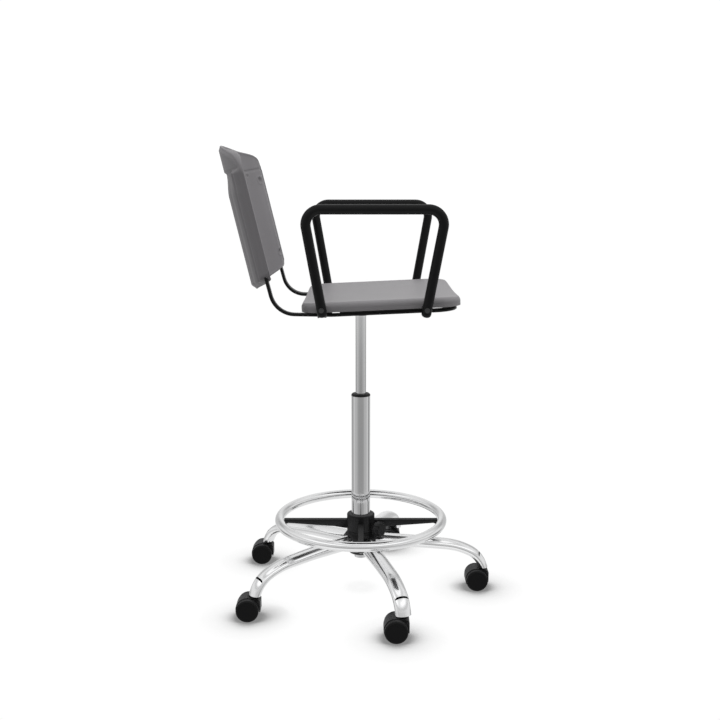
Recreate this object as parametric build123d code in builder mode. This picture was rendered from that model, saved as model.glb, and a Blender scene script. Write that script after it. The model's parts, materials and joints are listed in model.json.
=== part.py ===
from build123d import *
import math
import os

# High swivel chair with a back, two arm loops, a foot ring and five twin-wheel casters.
# Millimetres. +Z up, +X forward, +Y to the sitter's left.
# The origin is on the floor, under the axis of the column.

os.makedirs("parts", exist_ok=True)

# ---- clearances -------------------------------------------------------------
RUN = 0.05  # radial clearance of a running fit
GAP = 0.3  # space between parts that move past each other
TOUCH = 0.01  # tolerance when edges are looked up by height

# ---- overall sizes ----------------------------------------------------------
COLUMN_DIA = 50.0
CYLINDER_DIA = 28.0
COLUMN_TOP = 534.0
RING_OUTER_DIA = 460.0
BASE_STEM_RADIUS = 331.0
LEG_COUNT = 5
SEAT_WIDTH = 474.0
SEAT_REAR = -142.0
SEAT_FRONT = 240.0
SEAT_TILT = 2.6  # degrees, front higher
BACK_INSET = 5.0
BACK_WIDTH = SEAT_WIDTH - 2 * BACK_INSET
BACK_HEIGHT = 368.0
BACK_TILT = 13.4  # degrees, leaning back
ARM_TUBE_DIA = 23.5

# ---- column and gas spring --------------------------------------------------
COLUMN_R = COLUMN_DIA / 2
COLUMN_WALL = 2.0
COLUMN_FOOT_Z = 90.0
FOOT_INSET = 7.5
FOOT_R = COLUMN_R - FOOT_INSET
FOOT_TOP_Z = 108.0
FOOT_CONE_RISE = 10.0
FOOT_PLATE_Z = 95.0
FOOT_PLATE_TOP = 99.0
BUSH_LENGTH = 95.0
BUSH_COLLAR = 6.0
CYLINDER_R = CYLINDER_DIA / 2
CYLINDER_WALL = 1.5
CYLINDER_BOTTOM = 340.0
CYLINDER_TOP = 780.0
CYLINDER_HEAD = 18.0
TAPER_BOTTOM = 744.0
TAPER_DROP = 1.0
TAPER_TOP_R = CYLINDER_R - TAPER_DROP
GLAND_LENGTH = 16.0
ROD_R = 5.0
ROD_FOOT_Z = 91.0
ROD_SHOULDER_R = 9.0
ROD_SHOULDER = 4.0
BEARING_HEIGHT = 8.0
PISTON_HEIGHT = 12.0
CLIP_R = 10.0
CLIP_HEIGHT = 3.0
PIN_R = 3.0
PIN_TOP = 786.0
PIN_BOTTOM = 764.0

# ---- base -------------------------------------------------------------------
HUB_BOTTOM = 103.0
HUB_TOP = 165.0
HUB_WALL = 21.0
HUB_R = COLUMN_R + HUB_WALL
HUB_SHOULDER = 12.0
HUB_SHOULDER_DROP = 17.0
HUB_SKIRT = 15.0
HUB_SKIRT_RISE = 20.0
LEG_BITE = 11.0
LEG_START_R = COLUMN_R + LEG_BITE
LEG_WIDE = 46.0
LEG_HIGH = 36.0
LEG_END_WIDE = 40.0
LEG_END_HIGH = 24.0
LEG_WALL = 2.5
WHEEL_R = 28.8
TOE_RISE = 3.4
TOE_Z = 2 * WHEEL_R + TOE_RISE
LEG_START_Z = 137.0
LEG_SHOULDERS = ((171.0, 131.0), (69.0, 121.0))  # inwards from the caster's axis, and up
LEG_KNEE = (12.0, 32.0)  # inwards from the caster's axis, and up from the toe
LEG_END = (-3.0, -8.0)
LEG_POINTS = (
    (LEG_START_R, LEG_START_Z),
    *[(BASE_STEM_RADIUS - inwards, height) for inwards, height in LEG_SHOULDERS],
    *[(BASE_STEM_RADIUS - inwards, TOE_Z + rise) for inwards, rise in (LEG_KNEE, LEG_END)],
)
LEG_RADII = (600.0, 180.0, 72.0)

# ---- casters ----------------------------------------------------------------
WHEEL_INNER_FACE = 7.6
WHEEL_OUTER_FACE = 33.0
WHEEL_WEB = 5.8
WHEEL_EDGE = 1.2
WHEEL_FACE_EDGE = 3.0
WHEEL_FACE_RIM = 1.5
WHEEL_FACE_SINK = 0.6
WHEEL_RIM = 4.8
WHEEL_BOSS_R = 8.0
AXLE_R = 4.0
AXLE_HALF = 29.0
TRAIL = 17.3
HOOD_WALL = 1.7
HOOD_R = WHEEL_R + HOOD_WALL
HOOD_HALF = 18.0
WEB_HALF = 7.0
HOOD_FRONT = 32.0
HOOD_SKIN_GAP = 0.6
HOOD_TAIL_ANGLE = 27.4  # degrees below level, where the hood ends behind the wheel
HOOD_NOSE = 4.0
HOOD_SHOULDER_DROP = 5.0
HOOD_NOSE_DROP = 11.0
HOOD_FRONT_DROP = 6.5
STEM_PIN_R = 3.5
STEM_R = 4.5
STEM_FLANGE_R = 8.0
STEM_FLANGE = 2.2
STEM_BITE = 15.0
STEM_TOP = TOE_Z + STEM_BITE
STEM_FOOT = 24.0
SOCKET_R = 6.5
HOOD_BOSS_R = 9.0

# ---- foot ring --------------------------------------------------------------
RING_TUBE_R = 12.5
RING_WALL = 1.5
RING_Z = 196.0
RING_PITCH_R = RING_OUTER_DIA / 2 - RING_TUBE_R
SPIDER_WALL = 12.0
SPIDER_R = COLUMN_R + SPIDER_WALL
SPIDER_BOTTOM = 167.0
SPIDER_TOP = 211.0
SPOKE_TOP = 194.5
SPOKE_WIDTH = 14.0
SPOKE_COUNT = 4
SPOKE_ROOT = 4.0
SPOKE_ROOT_HIGH = 24.5
SPOKE_CURVE = ((71.0, 18.7), (43.0, 23.5))
SPOKE_NECK = 22.0
SPOKE_NECK_HIGH = 9.5
SPOKE_SHOULDER = 8.0
TONGUE_TIP = 2.0
TONGUE_THICK = 5.0
TONGUE_LENGTH = 12.0
TONGUE_DROP = 3.0
SPIDER_EDGE_R = 3.0
CLAMP_ANGLE = -35.0
CLAMP_Z = 177.0
KNOB_R = 20.0
KNOB_RISE = 27.0
KNOB_THICK = 17.0
KNOB_START = COLUMN_R + KNOB_RISE
KNOB_END = KNOB_START + KNOB_THICK
CLAMP_BOSS_R = 9.0
CLAMP_BOSS_END = KNOB_START - SPIDER_EDGE_R
CLAMP_SCREW_R = 4.0
RING_SCREW_R = 2.0
RING_SCREW_INSET = 3.0
RING_SCREW_DROP = 6.0
RING_SCREW_HEAD = 2.0
KNOB_NOTCHES = 6
KNOB_NOTCH_R = 6.0
KNOB_NOTCH_OUT = 3.0
KNOB_EDGE_R = 2.0
KNOB_COVER = 6.0

# ---- seat frame -------------------------------------------------------------
BAR_WIDE = 25.0
BAR_THICK = 8.0
BAR_INSET = 20.0
BAR_Y = SEAT_WIDTH / 2 - BAR_INSET
BAR_LEAN = 3.4  # degrees, the uprights lean in towards the back
BAR_Z = 779.6  # height of the bars' centre line on the column axis
LEVEL_START = -70.0  # behind this the side bars run level
LEVEL_BEND_R = 300.0
BEND_CORNER = (-202.6, -1.0)
BEND_R = 60.0
UPRIGHT_TILT = 14.6  # degrees, leaning back
UPRIGHT_LENGTH = 330.0
CROSS_X = 85.0
CROSS_WIDE = 30.0
FRONT_BAR_INSET = 20.0
FRONT_BAR_X = SEAT_FRONT - FRONT_BAR_INSET
FRONT_BAR_ARM = 50.0
FRONT_BAR_START = FRONT_BAR_X - FRONT_BAR_ARM
FRONT_BAR_R = 45.0
PLATE_HALF_X = 100.0
PLATE_HALF_Y = 90.0
PLATE_THICK = 4.0
PLATE_CORNER_R = 12.0
TAPER_SOCKET_WALL = 6.0
TAPER_SOCKET_R = CYLINDER_R + TAPER_SOCKET_WALL
TAPER_SOCKET_BOTTOM = 748.0
TAPER_SOCKET_TOP = 779.0
PAD_OUT = 4.0
PAD_INSET = 20.0
PAD_WIDE = 12.0
SEAT_SCREW_R = 3.0
SEAT_SCREW_HEAD = 3.0
SEAT_SCREW_BITE = 12.0

# ---- height lever -----------------------------------------------------------
LEVER_R = 4.0
LEVER_PIVOT_Y = 60.0
LEVER_Z = PIN_TOP + GAP + LEVER_R
LEVER_EYE_R = 5.2
EAR_RISE = 5.0
EAR_FOOT_HALF = 12.0
EAR_TOP_HALF = 6.0
PIVOT_HEAD = 1.5
LEVER_BEND_START = 25.0
LEVER_BEND_END = 62.0
LEVER_EYE_HALF = 6.0
LEVER_DROP_Z = 757.0
LEVER_REACH = 31.0
LEVER_END_Y = SEAT_WIDTH / 2 + LEVER_REACH
LEVER_BEND_R = 30.0
LEVER_PIN_R = 3.0
EAR_THICK = 3.0
GRIP_LENGTH = 70.0
GRIP_HALF_WIDE = 14.0
GRIP_SKIN = 2.5
GRIP_OVERHANG = 3.0
GRIP_EDGE_R = 2.0

# ---- shells -----------------------------------------------------------------
SEAT_RIM_Z = 812.3
SEAT_LIP = 24.0
SEAT_SKIN = 5.0
SEAT_DISH = 12.0
SEAT_CORNER_R = 48.0
SEAT_EDGE_R = 14.0
BOSS_R = 8.0
BOSS_Y = 150.0
BACK_CURVE_R = 470.0
BACK_UPRIGHT_X = -214.9  # where the curve meets the side bars
BACK_SAG = BACK_CURVE_R - math.sqrt(BACK_CURVE_R**2 - BAR_Y**2)
BACK_FOOT_Z = 819.0
BACK_FOOT = (BACK_UPRIGHT_X - BACK_SAG, 0.0, BACK_FOOT_Z)
BACK_SKIN = 5.0
BACK_RIB_DEPTH = 8.0
BACK_RIB_WIDE = 6.0
BACK_RIB_TOP = 252.0
BACK_BAND_FOOT = 292.0
BACK_BAND = 4.0
SLEEVE_WALL = 3.0
SLEEVE_START = 90.0
BACK_FOOT_RISE = 30.5
BACK_TOP_DROP = 47.0
BACK_FOOT_R = 22.0
BACK_TOP_R = 45.0
BACK_RIBS = 9
BACK_RIB_SPREAD = 40.0  # degrees of the back's curve
BACK_RIB_BITE = 0.5
BACK_SCREW_R = 2.5
BACK_SCREW_HEAD = 2.0
BACK_SCREW_BITE = 1.0
BACK_SCREW_HEIGHTS = (105.0, 295.0)

# ---- arms -------------------------------------------------------------------
ARM_FOOT_OUT = 25.0
ARM_FOOT_Y = SEAT_WIDTH / 2 + ARM_FOOT_OUT
ARM_FOOT_Z = 788.0
ARM_SPLAY = 17.0
ARM_TOP_Y = ARM_FOOT_Y + ARM_SPLAY
ARM_TOP_Z = 1027.0
ARM_REAR_FOOT = -91.0
ARM_FRONT_FOOT = 153.5
ARM_REAR_TOP = -133.5
ARM_FRONT_TOP = 196.5
ARM_BEND_R = 35.0
ARM_WALL = 2.0
ARM_FOOT_ROUND = 9.0
ARM_BOLT_R = 3.0
ARM_BOLT_RISE = 6.0
ARM_BOLT_HEAD = 3.5
ARM_BOLT_SEAT = 1.0
ARM_BOLT_OUT = 1.0
LIP_GAP = 1.0
BRACKET_WIDE = 20.0
BRACKET_TOP = 800.0
BRACKET_RISE = 2.0
BRACKET_GAP = 1.5


# ---- helpers ----------------------------------------------------------------
def save(part, label):
    """Name the part and write its STEP file."""
    part.label = label
    export_step(part, f"parts/{label}.step")


def ring_profile(points):
    """A closed half-section in the XZ plane, turned about the Z axis."""
    with BuildSketch(Plane.XZ) as section:
        with BuildLine():
            Polyline(*points, close=True)
        make_face()
    return section.sketch


def seat_plane(height=0.0):
    """The seat frame's own plane, tilted with the seat, at a height above the bars' centre."""
    tilt = math.radians(SEAT_TILT)
    normal = (-math.sin(tilt), 0, math.cos(tilt))
    along = (math.cos(tilt), 0, math.sin(tilt))
    return Plane(origin=(0, 0, BAR_Z), x_dir=along, z_dir=normal).offset(height)


def bar_height(x):
    """Height of the bars' centre line at a distance forward of the column."""
    return BAR_Z + x * math.tan(math.radians(SEAT_TILT))


# ---- column -----------------------------------------------------------------
column_bore = COLUMN_R - COLUMN_WALL
foot_bore = FOOT_R - COLUMN_WALL
cone_top = FOOT_TOP_Z + FOOT_CONE_RISE
rod_hole = ROD_R + RUN

with BuildPart() as column_tube:
    add(
        ring_profile(
            [
                (foot_bore, COLUMN_FOOT_Z),
                (FOOT_R, COLUMN_FOOT_Z),
                (FOOT_R, FOOT_TOP_Z),
                (COLUMN_R, cone_top),
                (COLUMN_R, COLUMN_TOP),
                (column_bore, COLUMN_TOP),
                (column_bore, cone_top + COLUMN_WALL),
                (foot_bore, FOOT_TOP_Z + COLUMN_WALL),
                (foot_bore, FOOT_PLATE_TOP),
                (rod_hole, FOOT_PLATE_TOP),
                (rod_hole, FOOT_PLATE_Z),
                (foot_bore, FOOT_PLATE_Z),
            ]
        )
    )
    revolve(axis=Axis.Z)
save(column_tube.part, "column_tube")

with BuildPart() as guide_bush:
    bush_bore = CYLINDER_R + RUN
    collar_top = COLUMN_TOP + BUSH_COLLAR
    add(
        ring_profile(
            [
                (bush_bore, COLUMN_TOP - BUSH_LENGTH),
                (column_bore, COLUMN_TOP - BUSH_LENGTH),
                (column_bore, COLUMN_TOP),
                (COLUMN_R, COLUMN_TOP),
                (COLUMN_R, collar_top - BUSH_COLLAR / 2),
                (COLUMN_R - BUSH_COLLAR / 2, collar_top),
                (bush_bore, collar_top),
            ]
        )
    )
    revolve(axis=Axis.Z)
save(guide_bush.part, "guide_bush")

with BuildPart() as thrust_bearing:
    bearing_top = FOOT_PLATE_TOP + BEARING_HEIGHT
    add(
        ring_profile(
            [
                (rod_hole, FOOT_PLATE_TOP),
                (foot_bore, FOOT_PLATE_TOP),
                (foot_bore, bearing_top),
                (rod_hole, bearing_top),
            ]
        )
    )
    revolve(axis=Axis.Z)
save(thrust_bearing.part, "thrust_bearing")

with BuildPart() as piston_rod:
    shoulder_foot = bearing_top + GAP
    piston_foot = CYLINDER_BOTTOM + GLAND_LENGTH + GAP
    piston_r = CYLINDER_R - CYLINDER_WALL - RUN
    add(
        ring_profile(
            [
                (0, ROD_FOOT_Z),
                (ROD_R, ROD_FOOT_Z),
                (ROD_R, shoulder_foot),
                (ROD_SHOULDER_R, shoulder_foot),
                (ROD_SHOULDER_R, shoulder_foot + ROD_SHOULDER),
                (ROD_R, shoulder_foot + ROD_SHOULDER),
                (ROD_R, piston_foot),
                (piston_r, piston_foot),
                (piston_r, piston_foot + PISTON_HEIGHT),
                (0, piston_foot + PISTON_HEIGHT),
            ]
        )
    )
    revolve(axis=Axis.Z)
save(piston_rod.part, "piston_rod")

with BuildPart() as retaining_clip:
    clip_top = FOOT_PLATE_Z - GAP
    with BuildSketch(Plane.XY.offset(clip_top - CLIP_HEIGHT)):
        Circle(CLIP_R)
        Circle(ROD_R, mode=Mode.SUBTRACT)
    extrude(amount=CLIP_HEIGHT)
save(retaining_clip.part, "retaining_clip")

cylinder_bore = CYLINDER_R - CYLINDER_WALL
with BuildPart() as gas_cylinder:
    add(
        ring_profile(
            [
                (cylinder_bore, CYLINDER_BOTTOM),
                (CYLINDER_R, CYLINDER_BOTTOM),
                (CYLINDER_R, TAPER_BOTTOM),
                (TAPER_TOP_R, CYLINDER_TOP),
                (PIN_R + RUN, CYLINDER_TOP),
                (PIN_R + RUN, CYLINDER_TOP - CYLINDER_HEAD),
                (cylinder_bore, CYLINDER_TOP - CYLINDER_HEAD),
            ]
        )
    )
    revolve(axis=Axis.Z)
save(gas_cylinder.part, "gas_cylinder")

with BuildPart() as cylinder_gland:
    with BuildSketch(Plane.XY.offset(CYLINDER_BOTTOM)):
        Circle(cylinder_bore)
        Circle(rod_hole, mode=Mode.SUBTRACT)
    extrude(amount=GLAND_LENGTH)
save(cylinder_gland.part, "cylinder_gland")

with BuildPart() as release_pin:
    with BuildSketch(Plane.XY.offset(PIN_BOTTOM)):
        Circle(PIN_R)
    extrude(amount=PIN_TOP - PIN_BOTTOM)
save(release_pin.part, "release_pin")


# ---- base: hub and legs -----------------------------------------------------
def leg_solid():
    """One leg along +X, swept from the hub down to its toe, with the toe cut level."""
    with BuildPart() as leg:
        with BuildLine(Plane.XZ) as path:
            FilletPolyline(*LEG_POINTS, radius=LEG_RADII)
        with BuildSketch(Plane(origin=path.line @ 0, x_dir=(0, 1, 0), z_dir=path.line % 0)):
            Ellipse(LEG_WIDE / 2, LEG_HIGH / 2)
        with BuildSketch(Plane(origin=path.line @ 1, x_dir=(0, 1, 0), z_dir=path.line % 1)):
            Ellipse(LEG_END_WIDE / 2, LEG_END_HIGH / 2)
        sweep(path=path.line, multisection=True)
        with BuildSketch(Plane.XY.offset(TOE_Z)):
            with Locations((BASE_STEM_RADIUS, 0)):
                Circle(LEG_WIDE)
        extrude(amount=-LEG_WIDE, mode=Mode.SUBTRACT)
    return leg.part


def leg_cavity():
    """The hollow inside a leg, which stops before the toe."""
    with BuildPart() as cavity:
        with BuildLine(Plane.XZ) as path:
            FilletPolyline(*LEG_POINTS[:-1], radius=LEG_RADII[:-1])
        with BuildSketch(Plane(origin=path.line @ 0, x_dir=(0, 1, 0), z_dir=path.line % 0)):
            Ellipse(LEG_END_WIDE / 2 - LEG_WALL, LEG_END_HIGH / 2 - LEG_WALL)
        sweep(path=path.line)
    return cavity.part


leg_outer = leg_solid()
leg_hollow = leg_cavity()
leg_angles = [i * 360 / LEG_COUNT for i in range(LEG_COUNT)]
stem_flange_top = TOE_Z - GAP
stem_flange_foot = stem_flange_top - STEM_FLANGE

with BuildPart() as base_hub:
    add(
        ring_profile(
            [
                (COLUMN_R, cone_top),
                (COLUMN_R, HUB_TOP),
                (HUB_R - HUB_SHOULDER, HUB_TOP),
                (HUB_R, HUB_TOP - HUB_SHOULDER_DROP),
                (HUB_R, HUB_BOTTOM + HUB_SKIRT_RISE),
                (HUB_R - HUB_SKIRT, HUB_BOTTOM),
                (FOOT_R, HUB_BOTTOM),
                (FOOT_R, FOOT_TOP_Z),
            ]
        )
    )
    revolve(axis=Axis.Z)
    for angle in leg_angles:
        add(leg_outer.rotate(Axis.Z, angle), mode=Mode.SUBTRACT)
save(base_hub.part, "base_hub")

for number, angle in enumerate(leg_angles, 1):
    with BuildPart() as leg:
        add(leg_outer.rotate(Axis.Z, angle))
        add(leg_hollow.rotate(Axis.Z, angle), mode=Mode.SUBTRACT)
        with BuildSketch(Plane.XY.offset(TOE_Z)):
            with PolarLocations(BASE_STEM_RADIUS, 1, start_angle=angle):
                Circle(SOCKET_R)
        extrude(amount=STEM_TOP - TOE_Z, mode=Mode.SUBTRACT)
    save(leg.part, f"leg_{number}")

with BuildPart() as caster_sockets:
    with BuildSketch(Plane.XY.offset(TOE_Z)):
        with PolarLocations(BASE_STEM_RADIUS, LEG_COUNT):
            Circle(SOCKET_R)
            Circle(STEM_R, mode=Mode.SUBTRACT)
    extrude(amount=STEM_TOP - TOE_Z)
save(caster_sockets.part, "caster_sockets")

with BuildPart() as caster_stems:
    with BuildSketch(Plane.XY.offset(STEM_FOOT)):
        with PolarLocations(BASE_STEM_RADIUS, LEG_COUNT):
            Circle(STEM_PIN_R)
    extrude(amount=stem_flange_foot - STEM_FOOT)
    with BuildSketch(Plane.XY.offset(stem_flange_foot)):
        with PolarLocations(BASE_STEM_RADIUS, LEG_COUNT):
            Circle(STEM_FLANGE_R)
    extrude(amount=STEM_FLANGE)
    with BuildSketch(Plane.XY.offset(stem_flange_top)):
        with PolarLocations(BASE_STEM_RADIUS, LEG_COUNT):
            Circle(STEM_R)
    extrude(amount=STEM_TOP - stem_flange_top)
save(caster_stems.part, "caster_stems")


# ---- casters ----------------------------------------------------------------
def hood_solid():
    """The hood with its stem axis on Z and its wheels trailing towards -X."""
    hood_top = WHEEL_R + HOOD_R
    with BuildPart() as hood:
        with BuildSketch(Plane.XZ):
            with BuildLine():
                over = CenterArc((-TRAIL, WHEEL_R), HOOD_R, 90, 90 + HOOD_TAIL_ANGLE)
                slope = Line(over @ 0, (HOOD_FRONT - TRAIL - HOOD_NOSE, hood_top - HOOD_SHOULDER_DROP))
                nose = Line(slope @ 1, (HOOD_FRONT - TRAIL, hood_top - HOOD_NOSE_DROP))
                front = Line(nose @ 1, (HOOD_FRONT - TRAIL, WHEEL_R - HOOD_FRONT_DROP))
                Line(front @ 1, over @ 1)
            make_face()
        extrude(amount=HOOD_HALF, both=True)
        with BuildSketch(Plane.XY.offset(WHEEL_R)):
            Circle(HOOD_BOSS_R)
        extrude(amount=stem_flange_foot - GAP - WHEEL_R)
        for side in (-1, 1):
            with BuildSketch(Plane.XZ.offset(side * WEB_HALF)):
                with Locations((-TRAIL, WHEEL_R)):
                    Circle(WHEEL_R + HOOD_SKIN_GAP)
            extrude(amount=side * HOOD_HALF, mode=Mode.SUBTRACT)
        with BuildSketch(Plane.XY.offset(STEM_FOOT - GAP)):
            Circle(STEM_PIN_R + RUN)
        extrude(amount=WHEEL_R * 2, mode=Mode.SUBTRACT)
        with BuildSketch(Plane.XZ):
            with Locations((-TRAIL, WHEEL_R)):
                Circle(AXLE_R)
        extrude(amount=HOOD_HALF, both=True, mode=Mode.SUBTRACT)
    return hood.part


def axle_solid():
    """The axle across the hood."""
    with BuildPart() as axle:
        with BuildSketch(Plane.XZ):
            with Locations((-TRAIL, WHEEL_R)):
                Circle(AXLE_R)
        extrude(amount=AXLE_HALF, both=True)
    return axle.part


def wheel_solid(side):
    """A cup-shaped wheel on the axle, closed on its outer side by a face with a raised rim."""
    rim_r = WHEEL_R - WHEEL_RIM
    bore = AXLE_R + RUN
    web_face = WHEEL_OUTER_FACE - WHEEL_WEB
    face_r = WHEEL_R - WHEEL_FACE_EDGE - WHEEL_FACE_RIM
    with BuildPart() as wheel:
        with BuildSketch(Plane.XY):
            with BuildLine():
                Polyline(
                    (bore, WHEEL_INNER_FACE),
                    (WHEEL_BOSS_R, WHEEL_INNER_FACE),
                    (WHEEL_BOSS_R, web_face),
                    (rim_r, web_face),
                    (rim_r, WHEEL_INNER_FACE),
                    (WHEEL_R - WHEEL_EDGE, WHEEL_INNER_FACE),
                    (WHEEL_R, WHEEL_INNER_FACE + WHEEL_EDGE),
                    (WHEEL_R, WHEEL_OUTER_FACE - WHEEL_FACE_EDGE),
                    (WHEEL_R - WHEEL_FACE_EDGE / 3, WHEEL_OUTER_FACE - WHEEL_FACE_EDGE / 3),
                    (WHEEL_R - WHEEL_FACE_EDGE, WHEEL_OUTER_FACE),
                    (face_r, WHEEL_OUTER_FACE),
                    (face_r - WHEEL_FACE_SINK, WHEEL_OUTER_FACE - WHEEL_FACE_SINK),
                    (0, WHEEL_OUTER_FACE - WHEEL_FACE_SINK),
                    (0, AXLE_HALF + GAP),
                    (bore, AXLE_HALF + GAP),
                    close=True,
                )
            make_face()
        revolve(axis=Axis.Y)
        if side < 0:
            mirror(about=Plane.XZ, mode=Mode.REPLACE)
    return wheel.part.translate((-TRAIL, 0, WHEEL_R))


hood_shape = hood_solid()
axle_shape = axle_solid()
wheel_shapes = {"left": wheel_solid(1), "right": wheel_solid(-1)}

for number, angle in enumerate(leg_angles, 1):
    turn = math.radians(angle)
    place = (BASE_STEM_RADIUS * math.cos(turn), BASE_STEM_RADIUS * math.sin(turn), 0)
    with BuildPart() as caster_hood:
        add(hood_shape.translate(place))
    save(caster_hood.part, f"caster_{number}_hood")
    with BuildPart() as caster_axle:
        add(axle_shape.translate(place))
    save(caster_axle.part, f"caster_{number}_axle")
    for hand, shape in wheel_shapes.items():
        with BuildPart() as caster_wheel:
            add(shape.translate(place))
        save(caster_wheel.part, f"caster_{number}_wheel_{hand}")


# ---- foot ring --------------------------------------------------------------
def torus(outer, inner=0.0):
    """The ring's tube, or a solid ring where there is no inner radius."""
    with BuildPart() as ring:
        with BuildSketch(Plane.XZ):
            with Locations((RING_PITCH_R, RING_Z)):
                Circle(outer)
                if inner:
                    Circle(inner, mode=Mode.SUBTRACT)
        revolve(axis=Axis.Z)
    return ring.part


screw_x = RING_PITCH_R - RING_SCREW_INSET
tongue_foot = RING_Z - RING_TUBE_R - TONGUE_DROP
screw_top = RING_Z - RING_SCREW_DROP
spoke_start = COLUMN_R + SPOKE_ROOT
spoke_tip = RING_PITCH_R + TONGUE_TIP
knob_hole_end = KNOB_END - KNOB_COVER

with BuildPart() as foot_ring:
    add(torus(RING_TUBE_R, RING_TUBE_R - RING_WALL))
    with BuildSketch(Plane.XY.offset(tongue_foot)):
        with PolarLocations(screw_x, SPOKE_COUNT):
            Circle(RING_SCREW_R)
    extrude(amount=screw_top - tongue_foot, mode=Mode.SUBTRACT)
save(foot_ring.part, "foot_ring")

with BuildPart() as ring_spider:
    with BuildSketch(Plane.XY.offset(SPIDER_BOTTOM)):
        Circle(SPIDER_R)
    extrude(amount=SPIDER_TOP - SPIDER_BOTTOM)
    fillet(ring_spider.edges().group_by(Axis.Z)[-1], radius=SPIDER_EDGE_R)
    for spoke in range(SPOKE_COUNT):
        spoke_plane = Plane.XZ.rotated((0, 0, spoke * 360 / SPOKE_COUNT))
        with BuildSketch(spoke_plane):
            Polygon(
                (spoke_start, SPOKE_TOP),
                (RING_PITCH_R - SPOKE_SHOULDER, SPOKE_TOP),
                (spoke_tip, tongue_foot + TONGUE_THICK),
                (spoke_tip, tongue_foot),
                (RING_PITCH_R - TONGUE_LENGTH, tongue_foot),
                (RING_PITCH_R - SPOKE_NECK, SPOKE_TOP - SPOKE_NECK_HIGH),
                *[(reach, SPOKE_TOP - depth) for reach, depth in SPOKE_CURVE],
                (spoke_start, SPOKE_TOP - SPOKE_ROOT_HIGH),
                align=None,
            )
        extrude(amount=SPOKE_WIDTH / 2, both=True)
    clamp_plane = Plane(
        origin=(0, 0, CLAMP_Z),
        x_dir=(0, 0, 1),
        z_dir=(math.cos(math.radians(CLAMP_ANGLE)), math.sin(math.radians(CLAMP_ANGLE)), 0),
    )
    with BuildSketch(clamp_plane.offset(spoke_start)):
        Circle(CLAMP_BOSS_R)
    extrude(amount=CLAMP_BOSS_END - spoke_start)
    with BuildSketch(Plane.XY.offset(SPIDER_BOTTOM - CLAMP_BOSS_R)):
        Circle(COLUMN_R + RUN)
    extrude(amount=SPIDER_TOP, mode=Mode.SUBTRACT)
    with BuildSketch(clamp_plane):
        Circle(CLAMP_SCREW_R + RUN)
    extrude(amount=KNOB_START, mode=Mode.SUBTRACT)
    add(torus(RING_TUBE_R), mode=Mode.SUBTRACT)
    with BuildSketch(Plane.XY.offset(tongue_foot - RING_SCREW_HEAD)):
        with PolarLocations(screw_x, SPOKE_COUNT):
            Circle(RING_SCREW_R)
    extrude(amount=screw_top - tongue_foot, mode=Mode.SUBTRACT)
save(ring_spider.part, "ring_spider")

with BuildPart() as ring_screws:
    with BuildSketch(Plane.XY.offset(tongue_foot - RING_SCREW_HEAD)):
        with PolarLocations(screw_x, SPOKE_COUNT):
            Circle(RING_SCREW_R * 2)
    extrude(amount=RING_SCREW_HEAD)
    with BuildSketch(Plane.XY.offset(tongue_foot)):
        with PolarLocations(screw_x, SPOKE_COUNT):
            Circle(RING_SCREW_R)
    extrude(amount=screw_top - tongue_foot)
save(ring_screws.part, "ring_screws")

with BuildPart() as clamp_screw:
    with BuildSketch(clamp_plane.offset(COLUMN_R + GAP)):
        Circle(CLAMP_SCREW_R)
    extrude(amount=knob_hole_end - COLUMN_R - GAP)
save(clamp_screw.part, "clamp_screw")

with BuildPart() as clamp_knob:
    with BuildSketch(clamp_plane.offset(KNOB_START)):
        Circle(KNOB_R)
        with PolarLocations(KNOB_R + KNOB_NOTCH_OUT, KNOB_NOTCHES):
            Circle(KNOB_NOTCH_R, mode=Mode.SUBTRACT)
    extrude(amount=KNOB_END - KNOB_START)
    knob_face = clamp_knob.faces().sort_by_distance(clamp_plane.offset(KNOB_END).origin)[0]
    fillet(knob_face.edges(), radius=KNOB_EDGE_R)
    with BuildSketch(clamp_plane.offset(KNOB_START)):
        Circle(CLAMP_SCREW_R)
    extrude(amount=knob_hole_end - KNOB_START, mode=Mode.SUBTRACT)
save(clamp_knob.part, "clamp_knob")


# ---- seat frame -------------------------------------------------------------
def side_plane(side):
    """The upright plane of one side bar: its X is forward, its Y goes up and leans in."""
    lean = math.radians(BAR_LEAN)
    up = Vector(0, -side * math.sin(lean), math.cos(lean))
    along = Vector(1, 0, 0)
    return Plane(origin=(0, side * BAR_Y, BAR_Z), x_dir=along, z_dir=along.cross(up))


def side_path_points():
    """Corner points of a side bar's centre line, in its side plane."""
    slope = math.tan(math.radians(SEAT_TILT))
    tilt = math.radians(UPRIGHT_TILT)
    corner_x, corner_h = BEND_CORNER
    top = (corner_x - UPRIGHT_LENGTH * math.sin(tilt), corner_h + UPRIGHT_LENGTH * math.cos(tilt))
    return [
        (FRONT_BAR_START, FRONT_BAR_START * slope),
        (LEVEL_START, LEVEL_START * slope),
        BEND_CORNER,
        top,
    ]


def upright_bar_height(x):
    """Height of a side bar's centre line under the seat, where it levels off behind the middle."""
    return max(bar_height(x), bar_height(LEVEL_START))


def side_bar(side):
    """A flat bar with rounded edges, bent up from the seat into the back."""
    plane = side_plane(side)
    with BuildPart() as bar:
        with BuildLine(plane) as path:
            FilletPolyline(*side_path_points(), radius=(LEVEL_BEND_R, BEND_R))
        normal = plane.z_dir
        with BuildSketch(Plane(origin=path.line @ 0, x_dir=normal, z_dir=path.line % 0)):
            SlotOverall(BAR_WIDE, BAR_THICK)
        sweep(path=path.line)
    return bar.part


side_shapes = {"left": side_bar(1), "right": side_bar(-1)}
arm_bolt_z = ARM_FOOT_Z + ARM_BOLT_RISE
arm_bolt_xs = (ARM_REAR_FOOT - ARM_BOLT_OUT, ARM_FRONT_FOOT + ARM_BOLT_OUT)
arm_bolt_places = [(x, side) for side in (-1, 1) for x in arm_bolt_xs]


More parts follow.
